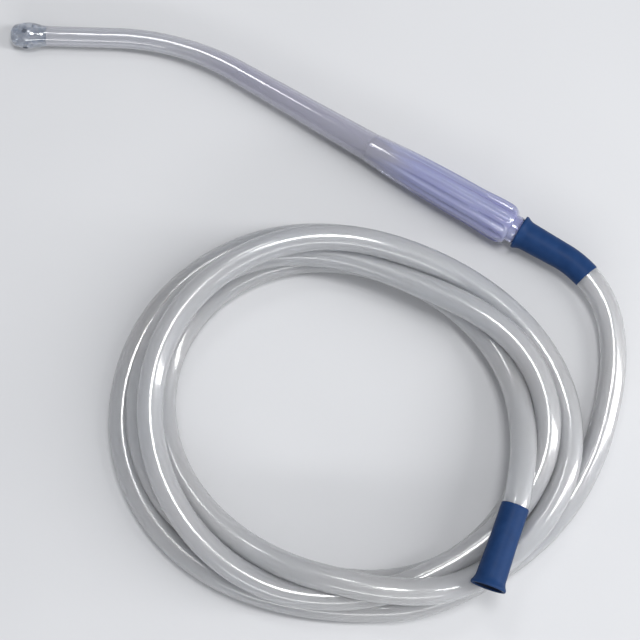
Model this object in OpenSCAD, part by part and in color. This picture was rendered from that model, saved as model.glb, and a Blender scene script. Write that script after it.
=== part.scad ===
// Hand-held suction handle with its coiled connecting tube.
// A rigid clear stem with a bulb tip and a fluted grip plugs into a soft connector on the
// flexible tube. The tube ends in a second, equal connector for a suction canister.
// Millimetres, +Z up. The grip's axis runs along X. The tip bends towards -Y, in the plane
// that the handle lies on. The origin is under the middle of the handle, on that plane.

/* [Tip cap] */
// Largest diameter of the bulb
bulb_d = 10.9; // [10.2:0.1:12.5]
// Length of the tip cap from its nose to its rear edge
cap_len = 15; // [14:0.5:18]
// Diameter of the inlet in the nose
inlet_d = 4.4; // [3:0.1:4.8]
// Diameter of each side eye
eye_d = 2.2; // [1.6:0.1:3]
// Number of side eyes round the bulb
eye_count = 4; // [2:1:6]

/* [Stem] */
// Outer diameter of the stem at its slim front end
stem_front_d = 8.3; // [7.6:0.1:8.6]
// Outer diameter of the stem where it meets the grip
stem_rear_d = 12.1; // [11.6:0.1:12.6]
// Diameter of the bore at the front of the stem
lumen_front_d = 5.2; // [4:0.1:5.2]
// Diameter of the bore at the rear of the stem
lumen_rear_d = 7.6; // [6:0.1:8]
// Length of the straight front part, from the nose to the bend
front_len = 44; // [35:1:60]
// Length of the straight rear part, from the bend to the grip
rear_len = 64; // [50:1:80]
// Angle of the bend in degrees
bend_angle = 29; // [15:1:45]
// Radius of the bend at the stem's centreline
bend_r = 104; // [80:1:140]

/* [Grip] */
// Length of the fluted barrel
barrel_len = 66.5; // [60:0.5:80]
// Largest diameter of the barrel, at the bead near its rear end
bead_d = 17; // [16.6:0.1:19]
// Diameter of the barrel in front of the bead
barrel_d = 16; // [15.6:0.1:16.4]
// Number of flutes round the barrel
flute_count = 12; // [6:1:14]
// Diameter of the neck between the barrel and the connector
neck_d = 11.6; // [10.5:0.1:11.8]
// Length of the neck
neck_len = 3.7; // [3:0.1:6]
// Diameter of the plug that the connector slides over
plug_d = 9.2; // [8.6:0.1:9.4]
// Length of the plug behind the neck
plug_len = 17; // [12:0.5:17]

/* [Connectors] */
// Length of each connector
connector_len = 33; // [31:0.5:38]
// Diameter of the flange at the mouth
flange_d = 14; // [13.4:0.1:16]
// Outer diameter of the sleeve that holds the tube
sleeve_d = 11; // [11:0.1:12.2]
// Diameter of the bore behind the mouth
bore_d = 9.3; // [8.8:0.1:9.6]
// Distance from the mouth to the stop that separates the bore from the sleeve
bore_depth = 17.7; // [16:0.1:18]
// Bend radius of the front connector's sleeve
sleeve_bend_r = 42; // [42:1:80]

/* [Tube] */
// Outer diameter of the connecting tube
hose_d = 10.4; // [9.6:0.1:10.6]
// Bore of the connecting tube
hose_bore_d = 7; // [5:0.1:7.5]

/* [Coil] */
// Mean outer radius of the coil
coil_outer_r = 86; // [84:0.5:90]
// Mean inner radius of the coil
coil_inner_r = 63; // [58:0.5:65]
// How far the coil's outer edge is out of round
coil_outer_oval = 7.5; // [0:0.5:9]
// How far the coil's inner edge is out of round
coil_inner_oval = 5.5; // [0:0.5:7]

/* [Hidden] */

clear_rigid = [0.78, 0.79, 0.82, 0.55];
tinted_rigid = [0.58, 0.6, 0.78, 0.7];
clear_soft = [0.82, 0.83, 0.85, 0.6];
blue_soft = [0.18, 0.28, 0.44];

fine = 96;              // segments of a turned surface
stem_sides = 32;        // sides of the swept stem
hose_sides = 10;        // sides of the swept tube
play = 0.05;            // radial gap between bonded round faces

// Handle. Its own X axis is the grip's axis, with zero at the barrel's front face.
spigot_len = 8;         // rear of the stem inside the grip
spigot_d = 10;
nose_spigot_len = 6;    // front of the stem inside the tip cap
nose_spigot_d = 6.4;
nose_flat_r = 2.35;     // flat rim round the inlet
lip_r = 4.7;            // ring round the nose
lip_from = 2.8;
lip_end = 3.3;
shoulder_r = 4.95;      // where the bulb begins behind the ring
shoulder_at = 3.6;
bulb_at = 7.4;          // widest place of the bulb, from the nose
eyes_at = 6.2;
cavity_from = 3;
cavity_r = 3.7;
cavity_shelf = 0.4;     // between the chamber of the cap and its socket
bead_at = 60;           // widest place of the barrel, from its front face
bead_run = 13;          // length over which the bead rises
bead_len = 1.5;         // straight run of the bead
swell_power = 0.8;      // below 1 the barrel swells early behind the stem
flute_from = 3;         // where the flutes begin, from the barrel's front face
flute_r = 1.6;          // radius of the cutter of a flute
flute_depth = 0.8;
flute_gap = 0.4;        // the cutter starts this far clear of the barrel
neck_slope = 1.2;       // length of the step from the neck down to the plug
plug_edge = 0.6;        // broken edge of the plug's end
mouth_at = barrel_len + 3.2;   // the front connector's mouth, from the barrel's front face
grip_cavity_r = 5.8;
plug_bore_d = 6.6;

bend_len = bend_r * bend_angle * PI / 180;
nose_u = rear_len + bend_len + front_len;   // from the barrel's front face to the nose
taper_len = rear_len + bend_len / 2;        // where the stem's taper ends
nose_x = rear_len + bend_r * sin(bend_angle) + front_len * cos(bend_angle);
nose_y = bend_r * (1 - cos(bend_angle)) + front_len * sin(bend_angle);
tilt = asin((bead_d - bulb_d) / 2 / (nose_x + bead_at - bulb_at * cos(bend_angle)));
plug_end = barrel_len + neck_len + plug_len;
bead_end = bead_at + bead_len;

// The barrel's front face lies here, which puts the origin under the handle's middle
barrel_x = (nose_x + 1.6 - plug_end) / 2;
barrel_y = (nose_y + 2.4 - bead_d / 2) / 2;

// Connector. Its own Z axis runs from the mouth towards the tube.
flange_len = 1;
flare_len = 3;          // length over which the flange blends into the body
body_mouth_d = 12.1;    // the body's diameter behind the flange, which tapers to the sleeve's
funnel_len = 4.5;
funnel_d = 12.5;
stop_len = 1.5;
sleeve_from = bore_depth + stop_len;
sleeve_len = connector_len - sleeve_from;
sleeve_turn = sleeve_len / sleeve_bend_r * 180 / PI;

// Coil and the tube's free stretches
coil_centre = [82.5, -88.5];
coil_height = 2 * hose_d;
coil_outer_turn = 18;   // direction in which the outer edge is longest
coil_inner_turn = 8;
coil_steps = 72;
samples = 3;            // rings between two points of a route

// From the front connector's stop down to the plane and along to the coil
lead_route = [[122.7, 14.1, 8.9], [127.5, 13.8, 9], [132, 13, 9.1], [136.1, 11.9, 9.1],
              [142, 9.4, 9], [148, 5.5, 8.6], [153.5, 0.4, 7.9], [158.4, -6, 7],
              [162.6, -13, 6.2], [166, -20.5, 5.6], [169, -29, 5.3], [171.8, -39, 5.2],
              [174, -50, 5.2], [175.4, -61, 5.2], [175.5, -72, 5.2], [174.2, -83, 5.2],
              [171.7, -94, 5.2], [167.6, -105.5, 5.2]];

// From the upper turns of the coil up on to the coil and into the rear connector
tail_route = [[119, -31.5, 15.4], [127.6, -37.9, 15.8], [135.9, -45.2, 17.2],
              [143.3, -54, 19.6], [149.1, -64.2, 22.6], [153.2, -74.9, 25.2],
              [156.7, -85.6, 26.7], [158.1, -93, 26.9], [159.3, -99.1, 27.2]];

rear_mouth = [163, -118, 27.85];
rear_heading = -79;     // direction of the mouth, in the plane
rear_rise = 2;          // slope of the axis on the coil's top

// Distance u from the barrel's front face back along the stem to its place and direction
function stem_turn(u) = u <= rear_len ? 0 : min((u - rear_len) / bend_len, 1) * bend_angle;
function stem_place(u) =
    let (a = stem_turn(u), past = max(u - rear_len - bend_len, 0), straight = min(u, rear_len))
    [-straight - bend_r * sin(a) - past * cos(a), -bend_r * (1 - cos(a)) - past * sin(a), 0];
function stem_r(u) =
    (stem_rear_d + (stem_front_d - stem_rear_d) * min(max(u, 0) / taper_len, 1)) / 2;
function lumen_r(u) =
    (lumen_rear_d + (lumen_front_d - lumen_rear_d) * min(max(u, 0) / taper_len, 1)) / 2;

// Circle of points about centre c, square to direction t
function ring(c, t, r, sides) =
    let (side = cross([0, 0, 1], t) / norm(cross([0, 0, 1], t)), up = cross(t, side) / norm(t))
    [for (i = [0 : sides - 1]) c + r * (cos(360 * i / sides) * side + sin(360 * i / sides) * up)];

// Faces between ring k and ring k + 1 of a sweep, and a flat end
function band(k, next, sides) =
    [for (i = [0 : sides - 1]) let (j = (i + 1) % sides)
        each [[k * sides + i, k * sides + j, next * sides + j],
              [k * sides + i, next * sides + j, next * sides + i]]];
function flat_end(k, sides, flip) =
    [[for (i = [0 : sides - 1]) k * sides + (flip ? sides - 1 - i : i)]];

// Smooth curve through a route
function on_curve(a, b, c, d, t) =
    0.5 * (2 * b + (c - a) * t + (2 * a - 5 * b + 4 * c - d) * t * t
           + (3 * b - a - 3 * c + d) * t * t * t);
function smooth(route) =
    let (last = len(route) - 1)
    [for (i = [0 : last - 1], s = [0 : samples - 1])
        on_curve(route[max(i - 1, 0)], route[i], route[i + 1], route[min(i + 2, last)],
                 s / samples),
     route[last]];

// Solid tube that follows a route
module swept(route) {
    path = smooth(route);
    last = len(path) - 1;
    points = [for (k = [0 : last])
        each ring(path[k], path[min(k + 1, last)] - path[max(k - 1, 0)], hose_d / 2, hose_sides)];
    faces = concat([for (k = [0 : last - 1]) each band(k, k + 1, hose_sides)],
                   flat_end(0, hose_sides, true), flat_end(last, hose_sides, false));
    polyhedron(points, [for (f = faces) [for (i = [len(f) - 1 : -1 : 0]) f[i]]]);
}

// Places the handle with its bead and its bulb on the plane
module on_plane() {
    translate([barrel_x + bead_at, barrel_y, bead_d / 2])
        rotate([0, -tilt, 0])
            translate([-bead_at, 0, 0])
                children();
}

// Places a turned piece along the grip's axis, a distance behind the barrel's front face
module on_grip_axis(x = 0) {
    translate([x, 0, 0]) rotate([0, 90, 0]) children();
}

// Outline of the tip cap: a rounded nose with a ring, a low shoulder and a long bulb
function cap_outline() = concat(
    [[0, 0], [nose_flat_r, 0]],
    [for (a = [15 : 15 : 90])
        [nose_flat_r + (lip_r - nose_flat_r) * pow(sin(a), 1.5), lip_from * (1 - cos(a))]],
    [[lip_r, lip_end], [shoulder_r, shoulder_at]],
    [for (k = [1 : 5]) [shoulder_r + (bulb_d / 2 - shoulder_r) * sin(18 * k),
                        shoulder_at + (bulb_at - shoulder_at) * k / 5]],
    [for (k = [1 : 6]) [stem_front_d / 2 + 0.05 + (bulb_d / 2 - stem_front_d / 2 - 0.05)
                            * (1 + cos(30 * k)) / 2,
                        bulb_at + (cap_len - bulb_at) * k / 6]],
    [[0, cap_len]]);

module tip_cap() {
    socket_from = cap_len - nose_spigot_len;
    color(clear_rigid)
    on_plane() translate([-nose_x, -nose_y, 0]) rotate([0, 0, bend_angle]) rotate([0, 90, 0])
    difference() {
        rotate_extrude($fn = fine) polygon(cap_outline());
        translate([0, 0, -1]) cylinder(d = inlet_d, h = cap_len + 2, $fn = fine);
        translate([0, 0, cavity_from])
            cylinder(r = cavity_r, h = socket_from - cavity_shelf - cavity_from, $fn = fine);
        translate([0, 0, socket_from])
            cylinder(d = nose_spigot_d + 2 * play, h = nose_spigot_len + 1, $fn = fine);
        for (i = [0 : eye_count - 1])
            translate([0, 0, eyes_at])
                rotate([0, 90, 360 / eye_count * i])
                    cylinder(d = eye_d, h = bulb_d, $fn = 48);
    }
}

module stem() {
    outer = concat(
        [[-spigot_len, spigot_d / 2], [0, spigot_d / 2]],
        [for (u = [0 : 16 : rear_len]) [u, stem_r(u)]],
        [for (k = [1 : 12]) let (u = rear_len + bend_len * k / 12) [u, stem_r(u)]],
        [[nose_u - cap_len, stem_front_d / 2], [nose_u - cap_len, nose_spigot_d / 2],
         [nose_u - cap_len + nose_spigot_len, nose_spigot_d / 2]]);
    last = len(outer) - 1;
    inner = [for (k = [last : -1 : 0]) [outer[k][0], lumen_r(outer[k][0])]];
    stations = concat(outer, inner);
    count = len(stations);
    points = [for (s = stations)
        each ring(stem_place(s[0]), -[cos(stem_turn(s[0])), sin(stem_turn(s[0])), 0], s[1],
                  stem_sides)];
    faces = [for (k = [0 : count - 1]) each band(k, (k + 1) % count, stem_sides)];
    color(clear_rigid)
    on_plane() polyhedron(points, [for (f = faces) [f[2], f[1], f[0]]]);
}

// Radius of the barrel at a distance from its front face
function barrel_r(x) =
    let (swell = pow(sin(90 * min(x / (bead_at - bead_run), 1)), swell_power),
         rise = max(x - bead_at + bead_run, 0) / bead_run)
    (stem_rear_d + (barrel_d - stem_rear_d) * swell + (bead_d - barrel_d) * (1 - cos(180 * rise)) / 2)
    / 2;

function grip_outline() = concat(
    [[0, 0]],
    [for (k = [0 : 12]) let (x = bead_at * k / 12) [barrel_r(x), x]],
    [[bead_d / 2, bead_end]],
    [for (a = [15 : 15 : 90])
        [neck_d / 2 + (bead_d - neck_d) / 2 * cos(a),
         bead_end + (barrel_len - bead_end) * sin(a)]],
    [[neck_d / 2, barrel_len + neck_len - neck_slope], [plug_d / 2, barrel_len + neck_len],
     [plug_d / 2, plug_end - plug_edge], [plug_d / 2 - plug_edge, plug_end], [0, plug_end]]);

module grip() {
    flute_to = barrel_len + 1;
    start_r = barrel_r(flute_from) + flute_r + flute_gap;
    end_r = bead_d / 2 + flute_r - flute_depth;
    lean = atan((end_r - start_r) / (flute_to - flute_from));
    color(tinted_rigid)
    on_plane() on_grip_axis()
    difference() {
        rotate_extrude($fn = fine) polygon(grip_outline());
        translate([0, 0, -1])
            cylinder(d = spigot_d + 2 * play, h = spigot_len + 1 + play, $fn = fine);
        translate([0, 0, spigot_len])
            cylinder(r1 = lumen_rear_d / 2, r2 = grip_cavity_r, h = bead_at - spigot_len,
                     $fn = fine);
        translate([0, 0, bead_at - 0.01])
            cylinder(r1 = grip_cavity_r, r2 = plug_bore_d / 2, h = barrel_len - bead_at,
                     $fn = fine);
        translate([0, 0, bead_at]) cylinder(d = plug_bore_d, h = plug_end, $fn = fine);
        for (i = [0 : flute_count - 1])
            rotate([0, 0, 360 / flute_count * i])
                translate([start_r, 0, flute_from])
                    rotate([0, lean, 0])
                        cylinder(r = flute_r, h = flute_to - flute_from, $fn = 32);
    }
}

// Radius of a connector's outside at a distance from its mouth
function connector_r(z) =
    let (fade = pow(1 - min(max(z - flange_len, 0) / flare_len, 1), 2))
    (body_mouth_d + (sleeve_d - body_mouth_d) * z / sleeve_from
     + (flange_d - body_mouth_d) * fade) / 2;

// Soft connector with its mouth at zero. Its sleeve bends towards -Y by the angle given.
module connector(turn = 0) {
    difference() {
        rotate_extrude($fn = fine)
            polygon(concat([[0, 0]],
                           [for (z = [0, 1, 1.4, 1.9, 2.5, 3.2, 4, 10, 15]) [connector_r(z), z]],
                           [[sleeve_d / 2, sleeve_from], [0, sleeve_from]]));
        translate([0, 0, -0.01])
            cylinder(d1 = funnel_d, d2 = bore_d, h = funnel_len, $fn = fine);
        translate([0, 0, funnel_len - 0.5])
            cylinder(d = bore_d, h = bore_depth - funnel_len + 0.5, $fn = fine);
        cylinder(d = hose_bore_d, h = sleeve_from + 1, $fn = fine);
    }
    if (turn > 0)
        translate([0, -sleeve_bend_r, sleeve_from])
            rotate([0, 0, 90]) rotate([90, 0, 0])
                rotate_extrude(angle = turn, $fn = fine)
                    translate([sleeve_bend_r, 0]) sleeve_section();
    else
        translate([0, 0, sleeve_from]) linear_extrude(sleeve_len) sleeve_section();
}

module sleeve_section() {
    difference() {
        circle(d = sleeve_d, $fn = fine);
        circle(d = hose_d, $fn = fine);
    }
}

module front_connector() {
    color(blue_soft) on_plane() on_grip_axis(mouth_at) connector(sleeve_turn);
}

module rear_connector() {
    color(blue_soft)
    translate(rear_mouth)
        rotate([0, 0, rear_heading]) rotate([0, -90 - rear_rise, 0])
            connector();
}

module hose_lead() {
    color(clear_soft) swept(lead_route);
}

function coil_edge(r, oval, turn) =
    [for (i = [0 : coil_steps - 1]) let (a = 360 * i / coil_steps)
        (r + oval * cos(2 * (a - turn))) * [cos(a), sin(a)]];

module hose_coil() {
    color(clear_soft)
    translate(coil_centre)
        linear_extrude(coil_height)
            difference() {
                polygon(coil_edge(coil_outer_r, coil_outer_oval, coil_outer_turn));
                polygon(coil_edge(coil_inner_r, coil_inner_oval, coil_inner_turn));
            }
}

module hose_tail() {
    color(clear_soft) swept(tail_route);
}

tip_cap();
stem();
grip();
front_connector();
hose_lead();
hose_coil();
hose_tail();
rear_connector();
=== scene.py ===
"""Suction handle with its connecting tube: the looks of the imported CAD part.

A clear curved stem with a bulb tip and a fluted, tinted grip plugs into a soft blue connector.
The flexible tube behind it lies in a coil of four turns and ends in a second blue connector.
"""

import math

import bpy
import numpy as np
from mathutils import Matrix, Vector


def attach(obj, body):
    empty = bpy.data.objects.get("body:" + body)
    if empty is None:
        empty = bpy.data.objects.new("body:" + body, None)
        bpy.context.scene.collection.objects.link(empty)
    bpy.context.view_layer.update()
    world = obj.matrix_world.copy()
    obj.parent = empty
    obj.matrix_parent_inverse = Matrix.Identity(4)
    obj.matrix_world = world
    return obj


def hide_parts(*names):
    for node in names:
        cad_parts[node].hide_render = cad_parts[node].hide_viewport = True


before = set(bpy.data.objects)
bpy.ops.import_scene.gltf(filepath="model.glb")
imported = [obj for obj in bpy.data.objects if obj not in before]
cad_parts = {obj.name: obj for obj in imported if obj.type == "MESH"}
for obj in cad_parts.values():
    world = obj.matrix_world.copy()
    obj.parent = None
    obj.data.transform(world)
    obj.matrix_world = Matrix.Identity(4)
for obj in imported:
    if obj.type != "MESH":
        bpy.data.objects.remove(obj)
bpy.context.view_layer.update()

MM = 0.001

# ---------------------------------------------------------------- sizes that repeat the CAD's

HOSE_R = 5.2 * MM
HOSE_BORE_R = 3.5 * MM

TILT = math.radians(0.8466)           # the handle rests on its bead and on its bulb
GRIP_ORIGIN = Vector((33.652, 14.136, 8.5)) * MM
REAR_LEN = 64.0 * MM
FRONT_LEN = 44.0 * MM
BEND_R = 104.0 * MM
BEND = math.radians(29)
BEND_LEN = BEND_R * BEND
NOSE_U = REAR_LEN + BEND_LEN + FRONT_LEN
CAP_LEN = 15.0 * MM
STEM_REAR_R = 6.05 * MM
STEM_FRONT_R = 4.15 * MM
LUMEN_REAR_R = 3.8 * MM
LUMEN_FRONT_R = 2.6 * MM
SPIGOT_LEN = 8.0 * MM
SPIGOT_R = 5.0 * MM
NOSE_SPIGOT_LEN = 6.0 * MM
NOSE_SPIGOT_R = 3.2 * MM

BARREL_LEN = 66.5 * MM
BARREL_R = 8.0 * MM
BEAD_AT = 60.0 * MM
BEAD_RUN = 13.0 * MM
BEAD_LEN = 1.5 * MM
BEAD_R = 8.5 * MM
SWELL_POWER = 0.8
FLUTE_COUNT = 12
FLUTE_FROM = 3.0 * MM
FLUTE_TO = 67.5 * MM
FLUTE_R = 1.6 * MM
FLUTE_DEPTH = 0.8 * MM
FLUTE_GAP = 0.4 * MM
NECK_R = 5.8 * MM

CONNECTOR_LEN = 33.0 * MM
MOUTH_AT = 69.7 * MM                  # the front connector's mouth, from the barrel's front face
FLANGE_R = 7.0 * MM
FLANGE_LEN = 1.0 * MM
FLARE_LEN = 3.0 * MM
BODY_MOUTH_R = 6.05 * MM
FUNNEL_R = 6.25 * MM
FUNNEL_LEN = 4.5 * MM
BORE_R = 4.65 * MM
STOP_AT = 17.7 * MM
SLEEVE_R = 5.5 * MM
SLEEVE_FROM = 19.2 * MM
SLEEVE_BEND_R = 42.0 * MM
SHADE_FREE_MOUTH_DEPTH = 0.5 * MM                 # how far the outside's colour goes down the bore before the painted shade in it starts
REAR_MOUTH = Vector((0.163, -0.118, 0.02785))
REAR_HEADING = math.radians(-79)
REAR_RISE = math.radians(2)

# The tube's route from the front connector's stop down to the coil, and from the coil up into
# the rear connector
LEAD_ROUTE = [
    (0.1227, 0.0141, 0.0089), (0.1275, 0.0138, 0.0090), (0.1320, 0.0130, 0.0091),
    (0.1361, 0.0119, 0.0091), (0.1420, 0.0094, 0.0090), (0.1480, 0.0055, 0.0086),
    (0.1535, 0.0004, 0.0079), (0.1584, -0.0060, 0.0070), (0.1626, -0.0130, 0.0062),
    (0.1660, -0.0205, 0.0056), (0.1690, -0.0290, 0.0053), (0.1718, -0.0390, 0.0052),
    (0.1740, -0.0500, 0.0052), (0.1754, -0.0610, 0.0052), (0.1755, -0.0720, 0.0052),
    (0.1742, -0.0830, 0.0052), (0.1717, -0.0940, 0.0052), (0.1676, -0.1055, 0.0052),
]
TAIL_ROUTE = [
    (0.1190, -0.0315, 0.0154), (0.1276, -0.0379, 0.0158), (0.1359, -0.0452, 0.0172),
    (0.1433, -0.0540, 0.0196), (0.1491, -0.0642, 0.0226), (0.1532, -0.0749, 0.0252),
    (0.1567, -0.0856, 0.0267), (0.1581, -0.0930, 0.0269), (0.1593, -0.0991, 0.0272),
]

COIL_CENTRE = (0.0825, -0.0885)
COIL_START = -11                      # direction in degrees in which the lead joins the coil
COIL_SWEEP = 1372                     # degrees that the four turns go round
COIL_LEAN = (0.068, -0.139)           # how far the upper turns lie to one side, per height
COIL_NARROWING = 1.4                  # share by which the ring narrows per metre of height

# The ring's edges: mean radius in millimetres, then its waves as (number round the ring, size,
# direction of a crest in degrees)
INNER_EDGE = (62.8, ((1, 1.4, 118), (2, 5.5, 7)))
OUTER_EDGE = (87.0, ((2, 8.1, 19), (3, 1.4, 12)))

# How the turns lie. Each row: degrees gone round, place across the ring from its inner edge
# (0) to its outer edge (1), and height in millimetres.
TURNS = [
    (0, 1.0, 5.2), (200, 1.0, 5.2), (230, 0.8, 5.2), (260, 0.55, 5.2), (290, 0.3, 5.2),
    (330, 0.1, 5.2), (360, 0.0, 5.2), (410, 0.0, 5.2), (440, 0.3, 8), (470, 0.5, 11.5),
    (570, 0.5, 11.5), (600, 0.6, 14), (650, 0.65, 15), (685, 0.4, 15.4), (710, 0.2, 15.4),
    (730, 0.25, 15), (755, 0.45, 13.8), (790, 0.45, 15), (830, 0.35, 20), (860, 0.25, 20),
    (915, 0.35, 20), (960, 0.8, 17), (1000, 1.0, 8), (1035, 0.95, 12), (1055, 0.85, 15.6),
    (1070, 0.65, 17.5), (1088, 0.35, 21), (1103, 0.15, 21.5), (1122, 0.0, 18), (1150, 0.0, 9),
    (1175, 0.0, 5.2), (1290, 0.0, 6), (1335, 0.0, 12), (1372, 0.0, 15.4),
]


# ---------------------------------------------------------------- camera

CAMERA_AIM = Vector((0.0524, -0.0570, 0.0))
CAMERA_AZIMUTH = math.radians(31)
CAMERA_ELEVATION = math.radians(78)
CAMERA_DISTANCE = 0.75
CAMERA_LENS = 104.2
SENSOR_WIDTH = 36


def add_camera():
    back = Vector((math.sin(CAMERA_AZIMUTH) * math.cos(CAMERA_ELEVATION),
                   -math.cos(CAMERA_AZIMUTH) * math.cos(CAMERA_ELEVATION),
                   math.sin(CAMERA_ELEVATION)))
    data = bpy.data.cameras.new("camera")
    data.lens = CAMERA_LENS
    data.sensor_width = SENSOR_WIDTH
    data.clip_start = 0.01
    camera = bpy.data.objects.new("camera", data)
    camera.location = CAMERA_AIM + back * CAMERA_DISTANCE
    camera.rotation_mode = "QUATERNION"
    camera.rotation_quaternion = (-back).to_track_quat("-Z", "Y")
    bpy.context.collection.objects.link(camera)
    bpy.context.scene.camera = camera


# ---------------------------------------------------------------- mesh tools

def normalised(v):
    return v / np.linalg.norm(v, axis=-1, keepdims=True)


def evenly(points, step):
    """The same line with its points a step apart."""
    run = np.concatenate([[0], np.cumsum(np.linalg.norm(np.diff(points, axis=0), axis=1))])
    at = np.linspace(0, run[-1], max(int(round(run[-1] / step)), 2) + 1)
    return np.stack([np.interp(at, run, points[:, k]) for k in range(3)], axis=1)


def smooth_curve(route, step, parts=16):
    """A smooth curve through the points of a route, drawn in so many parts from each to the
    next and then divided evenly."""
    p = np.array(route, dtype=float)
    last = len(p) - 1
    t = np.linspace(0, 1, parts, endpoint=False)[:, None]
    stretches = []
    for i in range(last):
        a, b, c, d = p[max(i - 1, 0)], p[i], p[i + 1], p[min(i + 2, last)]
        stretches.append(0.5 * (2 * b + (c - a) * t + (2 * a - 5 * b + 4 * c - d) * t ** 2
                                + (3 * b - a - 3 * c + d) * t ** 3))
    stretches.append(p[-1:])
    return evenly(np.concatenate(stretches), step)


def cross_frames(path):
    """Two directions square to a path at each point, turning as little as they can."""
    heading = normalised(np.gradient(path, axis=0))
    side = np.cross((0.0, 0.0, 1.0), heading[0])
    sides = []
    for t in heading:
        side = normalised(side - t * np.dot(side, t))
        sides.append(side)
    sides = np.array(sides)
    return sides, np.cross(heading, sides)


def rings_along(path, radius, sides):
    """Rings of points round a path, as an array of ring by place round it by coordinate."""
    across, up = cross_frames(path)
    turn = 2 * math.pi * np.arange(sides) / sides
    return (path[:, None]
            + radius * (np.cos(turn)[None, :, None] * across[:, None]
                        + np.sin(turn)[None, :, None] * up[:, None]))


SHARP_EDGE = math.radians(40)


def loft(name, rings, material):
    """One closed skin through rings of points, where the last ring meets the first.
    Its UV map holds the turn round the skin and the distance along it in metres."""
    count, sides = rings.shape[:2]
    k, i = np.meshgrid(np.arange(count), np.arange(sides), indexing="ij")
    nk, ni = (k + 1) % count, (i + 1) % sides
    quads = np.stack([k * sides + i, k * sides + ni, nk * sides + ni, nk * sides + i], axis=-1)
    mesh = bpy.data.meshes.new(name)
    mesh.from_pydata(rings.reshape(-1, 3).tolist(), [], quads.reshape(-1, 4).tolist())
    middle = rings.mean(axis=1)
    run = np.concatenate([[0], np.cumsum(np.linalg.norm(np.diff(middle, axis=0), axis=1))])
    run_next = np.concatenate([run[1:], run[-1:]])
    uv = np.empty((count, sides, 4, 2))
    uv[..., 0, 0] = uv[..., 3, 0] = i / sides
    uv[..., 1, 0] = uv[..., 2, 0] = (i + 1) / sides
    uv[..., 0, 1] = uv[..., 1, 1] = run[k]
    uv[..., 2, 1] = uv[..., 3, 1] = run_next[k]
    layer = mesh.uv_layers.new(name="around_and_along")
    layer.data.foreach_set("uv", uv.reshape(-1))
    mesh.polygons.foreach_set("use_smooth", [True] * len(mesh.polygons))
    mesh.set_sharp_from_angle(angle=SHARP_EDGE)
    mesh.materials.append(material)
    piece = bpy.data.objects.new(name, mesh)
    bpy.context.collection.objects.link(piece)
    return piece


# ---------------------------------------------------------------- materials

NOISE_LOW = 0.3                       # most of a noise's values lie between these two
NOISE_HIGH = 0.7
RAGGED_BY = 10 * MM


def new_material(name):
    material = bpy.data.materials.new(name)
    material.use_nodes = True
    return material, material.node_tree, material.node_tree.nodes["Principled BSDF"]


def add_node(tree, kind, **settings):
    node = tree.nodes.new(kind)
    for key, value in settings.items():
        if key in node.inputs:
            node.inputs[key].default_value = value
        else:
            setattr(node, key, value)
    return node


def coordinates(tree, stretch=(1, 1, 1), output="Object"):
    source = add_node(tree, "ShaderNodeTexCoord")
    mapping = add_node(tree, "ShaderNodeMapping")
    mapping.inputs["Scale"].default_value = stretch
    tree.links.new(source.outputs[output], mapping.inputs["Vector"])
    return mapping.outputs["Vector"]


def speckle(tree, scale, detail=3.0, stretch=(1, 1, 1), output="Object"):
    """A noise with so many features to the metre, and its value from 0 to 1."""
    noise = add_node(tree, "ShaderNodeTexNoise", Scale=scale, Detail=detail)
    tree.links.new(coordinates(tree, stretch, output), noise.inputs["Vector"])
    return noise.outputs["Fac"]


def ranged(tree, value, low, high):
    spread = add_node(tree, "ShaderNodeMapRange")
    spread.inputs["From Min"].default_value = NOISE_LOW
    spread.inputs["From Max"].default_value = NOISE_HIGH
    spread.inputs["To Min"].default_value = low
    spread.inputs["To Max"].default_value = high
    tree.links.new(value, spread.inputs["Value"])
    return spread.outputs["Result"]


def tinted(tree, value, first, second):
    ramp = add_node(tree, "ShaderNodeValToRGB")
    ramp.color_ramp.elements[0].position = NOISE_LOW
    ramp.color_ramp.elements[0].color = (*first, 1)
    ramp.color_ramp.elements[1].position = NOISE_HIGH
    ramp.color_ramp.elements[1].color = (*second, 1)
    tree.links.new(value, ramp.inputs["Fac"])
    return ramp.outputs["Color"]


def axis_range(tree, output, axis, low, high, ragged=None):
    """0 below a place along one axis of the coordinates, 1 above another. A noise given as
    ragged moves both places to and fro."""
    split = add_node(tree, "ShaderNodeSeparateXYZ")
    tree.links.new(coordinates(tree, output=output), split.inputs["Vector"])
    spread = add_node(tree, "ShaderNodeMapRange", interpolation_type="SMOOTHSTEP")
    spread.inputs["From Min"].default_value = low
    spread.inputs["From Max"].default_value = high
    place = split.outputs[axis]
    if ragged:
        moved = add_node(tree, "ShaderNodeMath", operation="ADD")
        tree.links.new(place, moved.inputs[0])
        tree.links.new(ranged(tree, ragged, -RAGGED_BY, RAGGED_BY), moved.inputs[1])
        place = moved.outputs["Value"]
    tree.links.new(place, spread.inputs["Value"])
    return spread.outputs["Result"]


def mixed(tree, share, colour, other):
    """A linked colour that gives way to a plain one as the share rises."""
    mix = add_node(tree, "ShaderNodeMixRGB")
    tree.links.new(share, mix.inputs["Fac"])
    tree.links.new(colour, mix.inputs["Color1"])
    mix.inputs["Color2"].default_value = (*other, 1)
    return mix.outputs["Color"]


def bumped(tree, shader, value, depth, strength=0.5, normal=None):
    bump = add_node(tree, "ShaderNodeBump", Strength=strength, Distance=depth)
    tree.links.new(value, bump.inputs["Height"])
    if normal:
        tree.links.new(normal, bump.inputs["Normal"])
    tree.links.new(bump.outputs["Normal"], shader.inputs["Normal"])
    return bump.outputs["Normal"]


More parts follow.
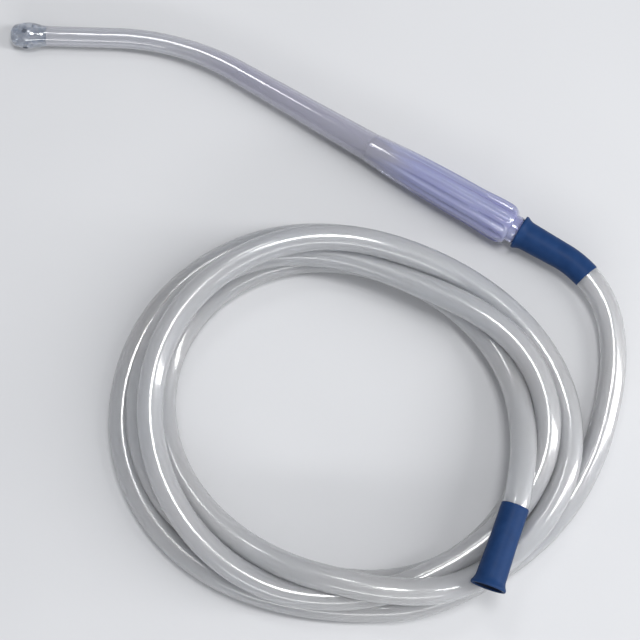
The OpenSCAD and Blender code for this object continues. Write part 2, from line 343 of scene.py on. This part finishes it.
def hose_material():
    """Soft milky vinyl with a glossy skin and fine lengthwise draw lines."""
    material, tree, shader = new_material("soft_clear_vinyl")
    cloud = speckle(tree, 14, 2)
    draw_lines = speckle(tree, 1, 2, stretch=(14, 3, 1), output="UV")
    grain = speckle(tree, 900, 2)
    tree.links.new(tinted(tree, cloud, (0.74, 0.735, 0.735), (0.71, 0.73, 0.77)),
                   shader.inputs["Base Color"])
    tree.links.new(ranged(tree, draw_lines, 0.30, 0.40), shader.inputs["Roughness"])
    shader.inputs["IOR"].default_value = 1.45
    shader.inputs["Transmission Weight"].default_value = 0.58
    shader.inputs["Subsurface Weight"].default_value = 1.0
    shader.inputs["Subsurface Radius"].default_value = (1, 1, 1)
    shader.inputs["Subsurface Scale"].default_value = 0.008
    shader.inputs["Coat Weight"].default_value = 1.0
    shader.inputs["Coat Roughness"].default_value = 0.09
    shader.inputs["Coat IOR"].default_value = 1.6
    lines = bumped(tree, shader, draw_lines, 0.00005, 0.25)
    bumped(tree, shader, grain, 0.00002, 0.1, lines)
    return material


def rigid_material(name, first, second, transmission, rough, marks, fade=None):
    """Clear moulded plastic. Its flow marks are given as a scale and a depth, and run mostly
    along X. With a fade, its colour comes in along X from a clear place to a tinted place."""
    material, tree, shader = new_material(name)
    scale, lengthwise, depth = marks
    flow = speckle(tree, scale, 2, stretch=(lengthwise, 1, 1))
    wear = speckle(tree, 1400, 2)
    colour = tinted(tree, flow, first, second)
    if fade:
        clear_at, tinted_at, clear = fade
        share = axis_range(tree, "Object", "X", tinted_at, clear_at, ragged=flow)
        colour = mixed(tree, share, colour, clear)
    tree.links.new(colour, shader.inputs["Base Color"])
    tree.links.new(ranged(tree, wear, rough[0], rough[1]), shader.inputs["Roughness"])
    shader.inputs["IOR"].default_value = 1.53
    shader.inputs["Transmission Weight"].default_value = transmission
    shader.inputs["Coat Weight"].default_value = 1.0
    shader.inputs["Coat Roughness"].default_value = rough[0]
    shader.inputs["Coat IOR"].default_value = 1.6
    bumped(tree, shader, flow, depth, 0.3)
    return material


def connector_material():
    """Soft blue vinyl with a satin, faintly mottled skin, and painted shade down its bore."""
    material, tree, shader = new_material("soft_blue_vinyl")
    mottle = speckle(tree, 260, 4)
    grain = speckle(tree, 2600, 2)
    skin_colour = tinted(tree, mottle, (0.009, 0.033, 0.106), (0.013, 0.042, 0.128))
    # painted shade: past the outside skin, the sleeve and bores are coloured near-black navy to
    # stand for the shade inside the connector
    bore_shade_start = SHADE_FREE_MOUTH_DEPTH + CONNECTOR_LEN
    inside = axis_range(tree, "UV", "Y", bore_shade_start, bore_shade_start + 0.5 * MM)
    tree.links.new(mixed(tree, inside, skin_colour, (0.004, 0.010, 0.032)),
                   shader.inputs["Base Color"])
    tree.links.new(ranged(tree, mottle, 0.42, 0.52), shader.inputs["Roughness"])
    shader.inputs["Specular IOR Level"].default_value = 0.1
    skin = bumped(tree, shader, mottle, 0.0002, 0.25)
    bumped(tree, shader, grain, 0.00004, 0.35, skin)
    return material


def floor_material():
    material, tree, shader = new_material("pale_floor")
    cloud = speckle(tree, 9, 3)
    grain = speckle(tree, 700, 3)
    tree.links.new(tinted(tree, cloud, (0.58, 0.585, 0.60), (0.60, 0.605, 0.62)),
                   shader.inputs["Base Color"])
    tree.links.new(ranged(tree, grain, 0.6, 0.75), shader.inputs["Roughness"])
    bumped(tree, shader, grain, 0.0001, 0.15)
    return material


# ---------------------------------------------------------------- the flexible tube

POINT_STEP = 5 * MM
FINE_STEP = 2.5 * MM
HOSE_SIDES = 32
STRAND_GAP = 2 * HOSE_R + 0.1 * MM    # two strands' centrelines lie at least this far apart
CONNECTOR_GAP = 0.3 * MM              # between the rear connector and the strands under it
CONTACT_REACH = 30 * MM               # only points that start this close can come to touch
PUSH_SHARE = 0.9                      # share of an overlap that one round takes away
RELAXING = 0.998                      # share of the shift that each round keeps
SINK_STEP = 0.01 * MM                 # how far the turns sink in one round of settling
PLACE_SOFTENING = 51                  # degrees over which the rows of TURNS are averaged
HEIGHT_SOFTENING = 41
LEAST_EASE = 0.15
EASE_ROUNDS = 60
SETTLE_ROUNDS = 400

# Stretches of the line, as numbers of points
SAME_STRAND = 6                       # points that are nearer along the line never touch
JOIN_REACH = 14                       # on each side of a join, where the line is eased more
LEAD_FREE = 12                        # at the lead's end, free to settle
TAIL_HELD = 4                         # at the tail's end, held in the connector
TAIL_FADE = 8                         # before those, where the easing comes in
TAIL_CLEAR = 12                       # at the tail's end, let the connector be
COIL_AFTER = 8                        # behind the lead's join, not yet kept in the ring
TAIL_RISE = 5                         # at the tail's end, no longer kept in the ring
RING_FADE = 20                        # before those, where the ring's hold comes in


def softened(values, width):
    """Values averaged over a window of so many steps, whose middle counts most."""
    window = np.hanning(width + 2)[1:-1]
    return np.convolve(np.pad(values, width // 2, mode="edge"), window / window.sum(), "valid")


def edge_r(edge, a):
    """Distance of one of the ring's edges from the coil's middle, in a direction."""
    mean, waves = edge
    return MM * sum((size * np.cos(number * (a - math.radians(crest)))
                     for number, size, crest in waves), start=mean)


def ring_edges(a):
    """Distances of the innermost and the outermost strand from the coil's middle."""
    return edge_r(INNER_EDGE, a) + HOSE_R, edge_r(OUTER_EDGE, a) - HOSE_R


def kept_in_ring(points):
    """The points moved back between the ring's edges, which lean and narrow a little upwards."""
    lift = points[:, 2:] - HOSE_R
    centre = np.array(COIL_CENTRE) + lift * COIL_LEAN
    spoke = points[:, :2] - centre
    reach = np.linalg.norm(spoke, axis=1, keepdims=True)
    inner, outer = ring_edges(np.arctan2(spoke[:, 1:], spoke[:, :1]))
    narrow = 1 - COIL_NARROWING * lift
    return centre + spoke / reach * np.clip(reach, inner * narrow, outer * narrow)


def coil_guide():
    """The line on which the turns would lie if they took no room from each other."""
    rows = np.array(TURNS)
    gone = np.arange(COIL_SWEEP + 1.0)
    place = softened(np.interp(gone, rows[:, 0], rows[:, 1]), PLACE_SOFTENING)
    height = softened(np.interp(gone, rows[:, 0], rows[:, 2]), HEIGHT_SOFTENING) * MM
    a = np.radians(COIL_START - gone)
    inner, outer = ring_edges(a)
    r = inner + (outer - inner) * place
    return np.stack([COIL_CENTRE[0] + r * np.cos(a), COIL_CENTRE[1] + r * np.sin(a), height],
                    axis=1)


def rear_axis():
    """Direction of the rear connector's mouth from its sleeve."""
    return np.array([math.cos(REAR_HEADING) * math.cos(REAR_RISE),
                     math.sin(REAR_HEADING) * math.cos(REAR_RISE),
                     math.sin(REAR_RISE)])


def push_apart(line, shift, pairs):
    """The shift of each point, changed so that strands that lie too close move apart."""
    i, j = pairs
    gap = (line + shift)[j] - (line + shift)[i]
    far = np.linalg.norm(gap, axis=1)
    near = far < STRAND_GAP
    i, j = i[near], j[near]
    push = gap[near] * ((STRAND_GAP - far[near]) / far[near] / 2)[:, None]
    total = np.zeros_like(line)
    hits = np.zeros(len(line))
    np.add.at(total, i, -push)
    np.add.at(total, j, push)
    np.add.at(hits, i, 1)
    np.add.at(hits, j, 1)
    return shift + PUSH_SHARE * total / np.sqrt(np.maximum(hits, 1))[:, None]


def hose_path():
    """Centreline of the whole tube, settled until its turns rest against each other."""
    lead = smooth_curve(LEAD_ROUTE, POINT_STEP)
    tail = smooth_curve(TAIL_ROUTE, POINT_STEP)
    turns = evenly(coil_guide(), POINT_STEP)
    line = np.concatenate([lead, turns[2:-2], tail])
    count = len(line)
    index = np.arange(count)
    to_end = count - 1 - index

    # the joins are eased more than the rest, and the ends in the connectors not at all
    joins = np.array([len(lead), count - len(tail)])
    ease = np.maximum(LEAST_EASE, 1 - np.abs(index[:, None] - joins).min(axis=1) / JOIN_REACH)
    held = (index < len(lead) - LEAD_FREE) | (to_end < TAIL_HELD)
    ease[held] = 0
    ease *= np.clip((to_end - TAIL_HELD + 1) / TAIL_FADE, 0, 1)
    for _ in range(EASE_ROUNDS):
        middle = line.copy()
        middle[1:-1] = (line[:-2] + 2 * line[1:-1] + line[2:]) / 4
        line += (middle - line) * ease[:, None]

    # points of different strands that may come to touch
    i, j = np.triu_indices(count, SAME_STRAND)
    close = np.linalg.norm(line[i] - line[j], axis=1) < CONTACT_REACH
    pairs = (i[close], j[close])

    # the turns make room for the rear connector, and stay within the ring
    past = 1 * MM
    along = np.arange(-past, CONNECTOR_LEN + past, 1.5 * MM)
    connector = np.array(REAR_MOUTH) - rear_axis() * along[:, None]
    clear = HOSE_R + connector_r(np.maximum(along, 0)) + CONNECTOR_GAP
    under = to_end >= TAIL_CLEAR
    coiled = (index > len(lead) + COIL_AFTER) & (to_end > TAIL_RISE)
    ring_hold = np.clip((to_end[coiled] - TAIL_RISE) / RING_FADE, 0, 1)[:, None] ** 2
    shift = np.zeros_like(line)
    for _ in range(SETTLE_ROUNDS):
        shift = push_apart(line, shift, pairs)
        gap = (line + shift)[:, None] - connector
        far = np.linalg.norm(gap, axis=2)
        push = gap / far[..., None] * np.maximum(clear - far, 0)[..., None] / 2
        shift += push.sum(axis=1) * under[:, None]
        eased = shift.copy()
        eased[2:-2] = (shift[:-4] + 4 * shift[1:-3] + 6 * shift[2:-2] + 4 * shift[3:-1]
                       + shift[4:]) / 16
        shift = eased * RELAXING
        shift[:, 2] -= SINK_STEP
        moved = (line + shift)[coiled]
        shift[coiled, :2] += (kept_in_ring(moved) - moved[:, :2]) * ring_hold
        shift[held] = 0
        shift[:, 2] = np.maximum(shift[:, 2], HOSE_R - line[:, 2])
    return line + shift


def make_hose(material):
    line = smooth_curve(hose_path(), FINE_STEP)
    outer = rings_along(line, HOSE_R, HOSE_SIDES)
    inner = rings_along(line, HOSE_BORE_R, HOSE_SIDES)
    hose = loft("hose", np.concatenate([outer, inner[::-1]]), material)
    return hose, line


# ---------------------------------------------------------------- the two connectors

def connector_r(z):
    """Radius of a connector's outside at a distance in metres from its mouth."""
    fade = (1 - np.clip((z - FLANGE_LEN) / FLARE_LEN, 0, 1)) ** 2
    body = BODY_MOUTH_R + (SLEEVE_R - BODY_MOUTH_R) * np.minimum(z / SLEEVE_FROM, 1)
    return body + (FLANGE_R - BODY_MOUTH_R) * fade


def funnel_r(z):
    return FUNNEL_R + (BORE_R - FUNNEL_R) * min(z / FUNNEL_LEN, 1)


def rounded(corner_z, corner_r, size, start, steps=5):
    """Points of a rounded edge of a profile: start is the angle at which its arc begins."""
    a = np.radians(start + 90 * np.arange(steps + 1) / steps)
    return np.stack([corner_z + size * np.cos(a), corner_r + size * np.sin(a)], axis=1)


def connector_profile():
    """Closed profile of a connector as (distance from the mouth, radius). It starts inside the
    mouth, goes round the lip and along the outside, and comes back through the bores."""
    rim = 0.35 * MM
    edge = 0.45 * MM
    fit = 0.02 * MM
    flare_end = FLANGE_LEN + FLARE_LEN
    mouth = [(z, funnel_r(z)) for z in np.linspace(SHADE_FREE_MOUTH_DEPTH, 0, 4)]
    lip = rounded(rim, FLANGE_R - rim, rim, 90)[::-1]
    skin = np.concatenate([np.linspace(FLANGE_LEN, flare_end, 14),
                           np.linspace(flare_end, CONNECTOR_LEN - edge, 55)[1:]])
    outside = np.stack([skin, connector_r(skin)], axis=1)
    tail_edge = rounded(CONNECTOR_LEN - edge, SLEEVE_R - edge, edge, 0)[::-1]
    sleeve = [(z, HOSE_R + fit) for z in np.linspace(CONNECTOR_LEN, SLEEVE_FROM, 20)]
    bore = [(SLEEVE_FROM, HOSE_BORE_R), (STOP_AT, HOSE_BORE_R), (STOP_AT, BORE_R)]
    bore += [(z, BORE_R) for z in np.linspace(STOP_AT, FUNNEL_LEN, 6)[1:]]
    funnel = [(z, funnel_r(z)) for z in np.linspace(FUNNEL_LEN, SHADE_FREE_MOUTH_DEPTH, 4)[1:-1]]
    return np.array([*mouth, *lip, *outside, *tail_edge, *sleeve, *bore, *funnel])


def turned(profile, place, sides=96):
    """Rings of a turned piece. place gives the centre and two cross directions at a distance."""
    turn = 2 * math.pi * np.arange(sides) / sides
    rings = []
    for along, radius in profile:
        centre, across, up = place(along)
        rings.append(centre + radius * (np.cos(turn)[:, None] * across
                                        + np.sin(turn)[:, None] * up))
    return np.array(rings)


def grip_point(x, y=0.0, z=0.0):
    """A point given along the grip's own axes, in the part's frame."""
    x -= BEAD_AT
    return np.array([GRIP_ORIGIN.x + BEAD_AT + x * math.cos(TILT) - z * math.sin(TILT),
                     GRIP_ORIGIN.y + y,
                     GRIP_ORIGIN.z + x * math.sin(TILT) + z * math.cos(TILT)])


def grip_direction(x, y, z):
    return grip_point(x, y, z) - grip_point(0.0)


def front_place(along):
    """Centre and cross directions of the front connector, whose sleeve bends with the tube."""
    bend = max(along - SLEEVE_FROM, 0) / SLEEVE_BEND_R
    centre = grip_point(MOUTH_AT + min(along, SLEEVE_FROM) + SLEEVE_BEND_R * math.sin(bend),
                        -SLEEVE_BEND_R * (1 - math.cos(bend)))
    return centre, grip_direction(math.sin(bend), math.cos(bend), 0), grip_direction(0, 0, 1)


def rear_place(along):
    axis = rear_axis()
    across = normalised(np.cross((0, 0, 1), axis))
    return np.array(REAR_MOUTH) - axis * along, across, np.cross(across, axis)


def make_connector(name, place, material):
    return loft(name, turned(connector_profile(), place), material)


# ---------------------------------------------------------------- the handle

def stem_turn(u):
    return min(max(u - REAR_LEN, 0) / BEND_LEN, 1) * BEND


def stem_place(u):
    """Centre and cross directions of the stem at a distance from the barrel's front face."""
    a = stem_turn(u)
    past = max(u - REAR_LEN - BEND_LEN, 0)
    x = -min(u, REAR_LEN) - BEND_R * math.sin(a) - past * math.cos(a)
    y = -BEND_R * (1 - math.cos(a)) - past * math.sin(a)
    return grip_point(x, y), grip_direction(math.sin(a), -math.cos(a), 0), grip_direction(0, 0, 1)


def tapered(u, rear_r, front_r):
    share = np.clip(u / (REAR_LEN + BEND_LEN / 2), 0, 1)
    return rear_r + (front_r - rear_r) * share


def make_stem(material):
    front = NOSE_U - CAP_LEN
    end = front + NOSE_SPIGOT_LEN
    break_edge = 0.1 * MM
    face = 0.05 * MM
    outside = [(-SPIGOT_LEN, SPIGOT_R - break_edge), (-SPIGOT_LEN + break_edge, SPIGOT_R),
               (-face, SPIGOT_R)]
    outside += [(u, tapered(u, STEM_REAR_R, STEM_FRONT_R)) for u in np.linspace(0, front, 90)]
    outside += [(front + face, NOSE_SPIGOT_R), (end - 2 * break_edge, NOSE_SPIGOT_R),
                (end, NOSE_SPIGOT_R - break_edge)]
    inside = [(u, tapered(u, LUMEN_REAR_R, LUMEN_FRONT_R))
              for u in np.linspace(end, -SPIGOT_LEN, 90)]
    return loft("stem_shell", turned(outside + inside, stem_place, 64), material)


def barrel_r(x):
    """Radius of the barrel before fluting, at a distance in metres from its front face."""
    bead_from = BEAD_AT - BEAD_RUN
    swell = np.sin(math.pi / 2 * np.clip(x / bead_from, 0, 1)) ** SWELL_POWER
    rise = np.clip((x - bead_from) / BEAD_RUN, 0, 1)
    return (STEM_REAR_R + (BARREL_R - STEM_REAR_R) * swell
            + (BEAD_R - BARREL_R) * (1 - np.cos(math.pi * rise)) / 2)


def fluted(x, radius, turn):
    """Radius of the barrel at each place round it, cut by the flutes with softened edges."""
    start = barrel_r(FLUTE_FROM) + FLUTE_R + FLUTE_GAP
    end = BEAD_R + FLUTE_R - FLUTE_DEPTH
    centre = start + (end - start) * (x - FLUTE_FROM) / (FLUTE_TO - FLUTE_FROM)
    half = math.pi / FLUTE_COUNT
    off = (turn + half) % (2 * half) - half
    inside = FLUTE_R ** 2 - (centre * np.sin(off)) ** 2
    uncut = 1.0
    cut = np.where(inside > 0, centre * np.cos(off) - np.sqrt(np.maximum(inside, 0)), uncut)
    soft = 0.07 * MM
    low = np.minimum(radius, cut)
    return low - soft * np.log(np.exp(-(radius - low) / soft)
                               + np.exp(-np.minimum(cut - low, 10 * MM) / soft))


# The grip behind its barrel and back through its bores, as (distance from the barrel's front
# face, radius) in millimetres
GRIP_NECK = [(67.5, 5.8), (68.9, 5.8), (69.1, 5.72), (70.1, 4.68), (70.3, 4.6)]
GRIP_PLUG = [(72.0, 4.6), (86.5, 4.6), (87.0, 4.4), (87.2, 4.1)]
GRIP_BORES = [(87.2, 3.3), (66.5, 3.3), (60.0, 5.8), (45.0, 5.2), (30.0, 4.7), (15.0, 4.1),
              (8.0, 3.8), (8.0, 5.05), (4.0, 5.05), (0.0, 5.05)]


def make_grip(material):
    sides = 20 * FLUTE_COUNT
    turn = 2 * math.pi * np.arange(sides) / sides
    across, up = grip_direction(0, 1, 0), grip_direction(0, 0, 1)
    spokes = np.cos(turn)[:, None] * across + np.sin(turn)[:, None] * up

    shoulder_from = BEAD_AT + BEAD_LEN
    stations = [(x, barrel_r(x)) for x in np.linspace(0, shoulder_from, 110)]
    for a in np.radians(np.arange(6, 91, 6)):
        stations.append((shoulder_from + (BARREL_LEN - shoulder_from) * math.sin(a),
                         NECK_R + (BEAD_R - NECK_R) * math.cos(a)))
    rings = [grip_point(x) + (fluted(x, radius, turn)[:, None] if x > FLUTE_FROM else radius)
             * spokes for x, radius in stations]
    rings += [grip_point(x * MM) + radius * MM * spokes
              for x, radius in GRIP_NECK + GRIP_PLUG + GRIP_BORES]
    return loft("grip_shell", np.array(rings), material)


# ---------------------------------------------------------------- stage

FLOOR_HALF = 6.0
FLOOR_Z = -0.1 * MM


def add_floor():
    corners = [(x * FLOOR_HALF, y * FLOOR_HALF, FLOOR_Z)
               for x, y in ((-1, -1), (1, -1), (1, 1), (-1, 1))]
    mesh = bpy.data.meshes.new("floor")
    mesh.from_pydata(corners, [], [(0, 1, 2, 3)])
    mesh.materials.append(floor_material())
    floor = bpy.data.objects.new("floor", mesh)
    bpy.context.collection.objects.link(floor)


def add_softbox(name, right, near, height, size, power):
    """An area light placed to the right of and nearer than the aim, as the camera sees them."""
    turn = CAMERA_AZIMUTH
    place = CAMERA_AIM + Vector((right * math.cos(turn) + near * math.sin(turn),
                                 right * math.sin(turn) - near * math.cos(turn), height))
    data = bpy.data.lights.new(name, "AREA")
    data.shape = "RECTANGLE"
    data.size, data.size_y = size
    data.energy = power
    light = bpy.data.objects.new(name, data)
    light.location = place
    light.rotation_mode = "QUATERNION"
    light.rotation_quaternion = (CAMERA_AIM - place).to_track_quat("-Z", "Y")
    bpy.context.collection.objects.link(light)


def add_lights():
    add_softbox("overhead", 0.12, -0.08, 1.4, (0.3, 0.3), 7)
    add_softbox("handle_light", -0.26, -0.56, 1.4, (0.22, 0.22), 1.7)
    add_softbox("near_strip", 0.1, 1.15, 0.7, (1.6, 0.16), 5)
    add_softbox("right_strip", 1.15, 0.1, 0.6, (0.16, 1.6), 14)
    world = bpy.data.worlds.new("studio")
    world.use_nodes = True
    world.node_tree.nodes["Background"].inputs["Color"].default_value = (0.86, 0.88, 0.92, 1)
    world.node_tree.nodes["Background"].inputs["Strength"].default_value = 0.45
    bpy.context.scene.world = world
    bpy.context.scene.view_settings.view_transform = "Standard"


# ---------------------------------------------------------------- the scene

add_camera()

hose_vinyl = hose_material()
blue_vinyl = connector_material()
clear_plastic = rigid_material("clear_plastic", (0.54, 0.54, 0.64), (0.60, 0.60, 0.70), 0.66,
                               (0.05, 0.1), (60, 0.3, 0.00001),
                               fade=(-0.060, -0.025, (0.69, 0.70, 0.75)))
tip_plastic = rigid_material("tip_plastic", (0.34, 0.40, 0.52), (0.78, 0.81, 0.86), 0.75,
                             (0.05, 0.1), (650, 1, 0.0002))
tinted_plastic = rigid_material("tinted_plastic", (0.35, 0.36, 0.66), (0.57, 0.61, 0.86), 0.56,
                                (0.11, 0.17), (260, 0.07, 0.0001),
                                fade=(0.036, 0.058, (0.51, 0.51, 0.61)))

front_connector = make_connector("front_sleeve", front_place, blue_vinyl)
rear_connector = make_connector("rear_sleeve", rear_place, blue_vinyl)
hose, hose_line = make_hose(hose_vinyl)
stem = make_stem(clear_plastic)
grip = make_grip(tinted_plastic)

for piece in (hose, front_connector, rear_connector):
    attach(piece, "hose_set")
for piece in (stem, grip):
    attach(piece, "handle")

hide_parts("hose_lead", "hose_coil", "hose_tail")
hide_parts("front_connector")
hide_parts("rear_connector")
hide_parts("stem")
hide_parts("grip")

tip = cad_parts["tip_cap"]
tip.data.materials.clear()
tip.data.materials.append(tip_plastic)

add_floor()
add_lights()
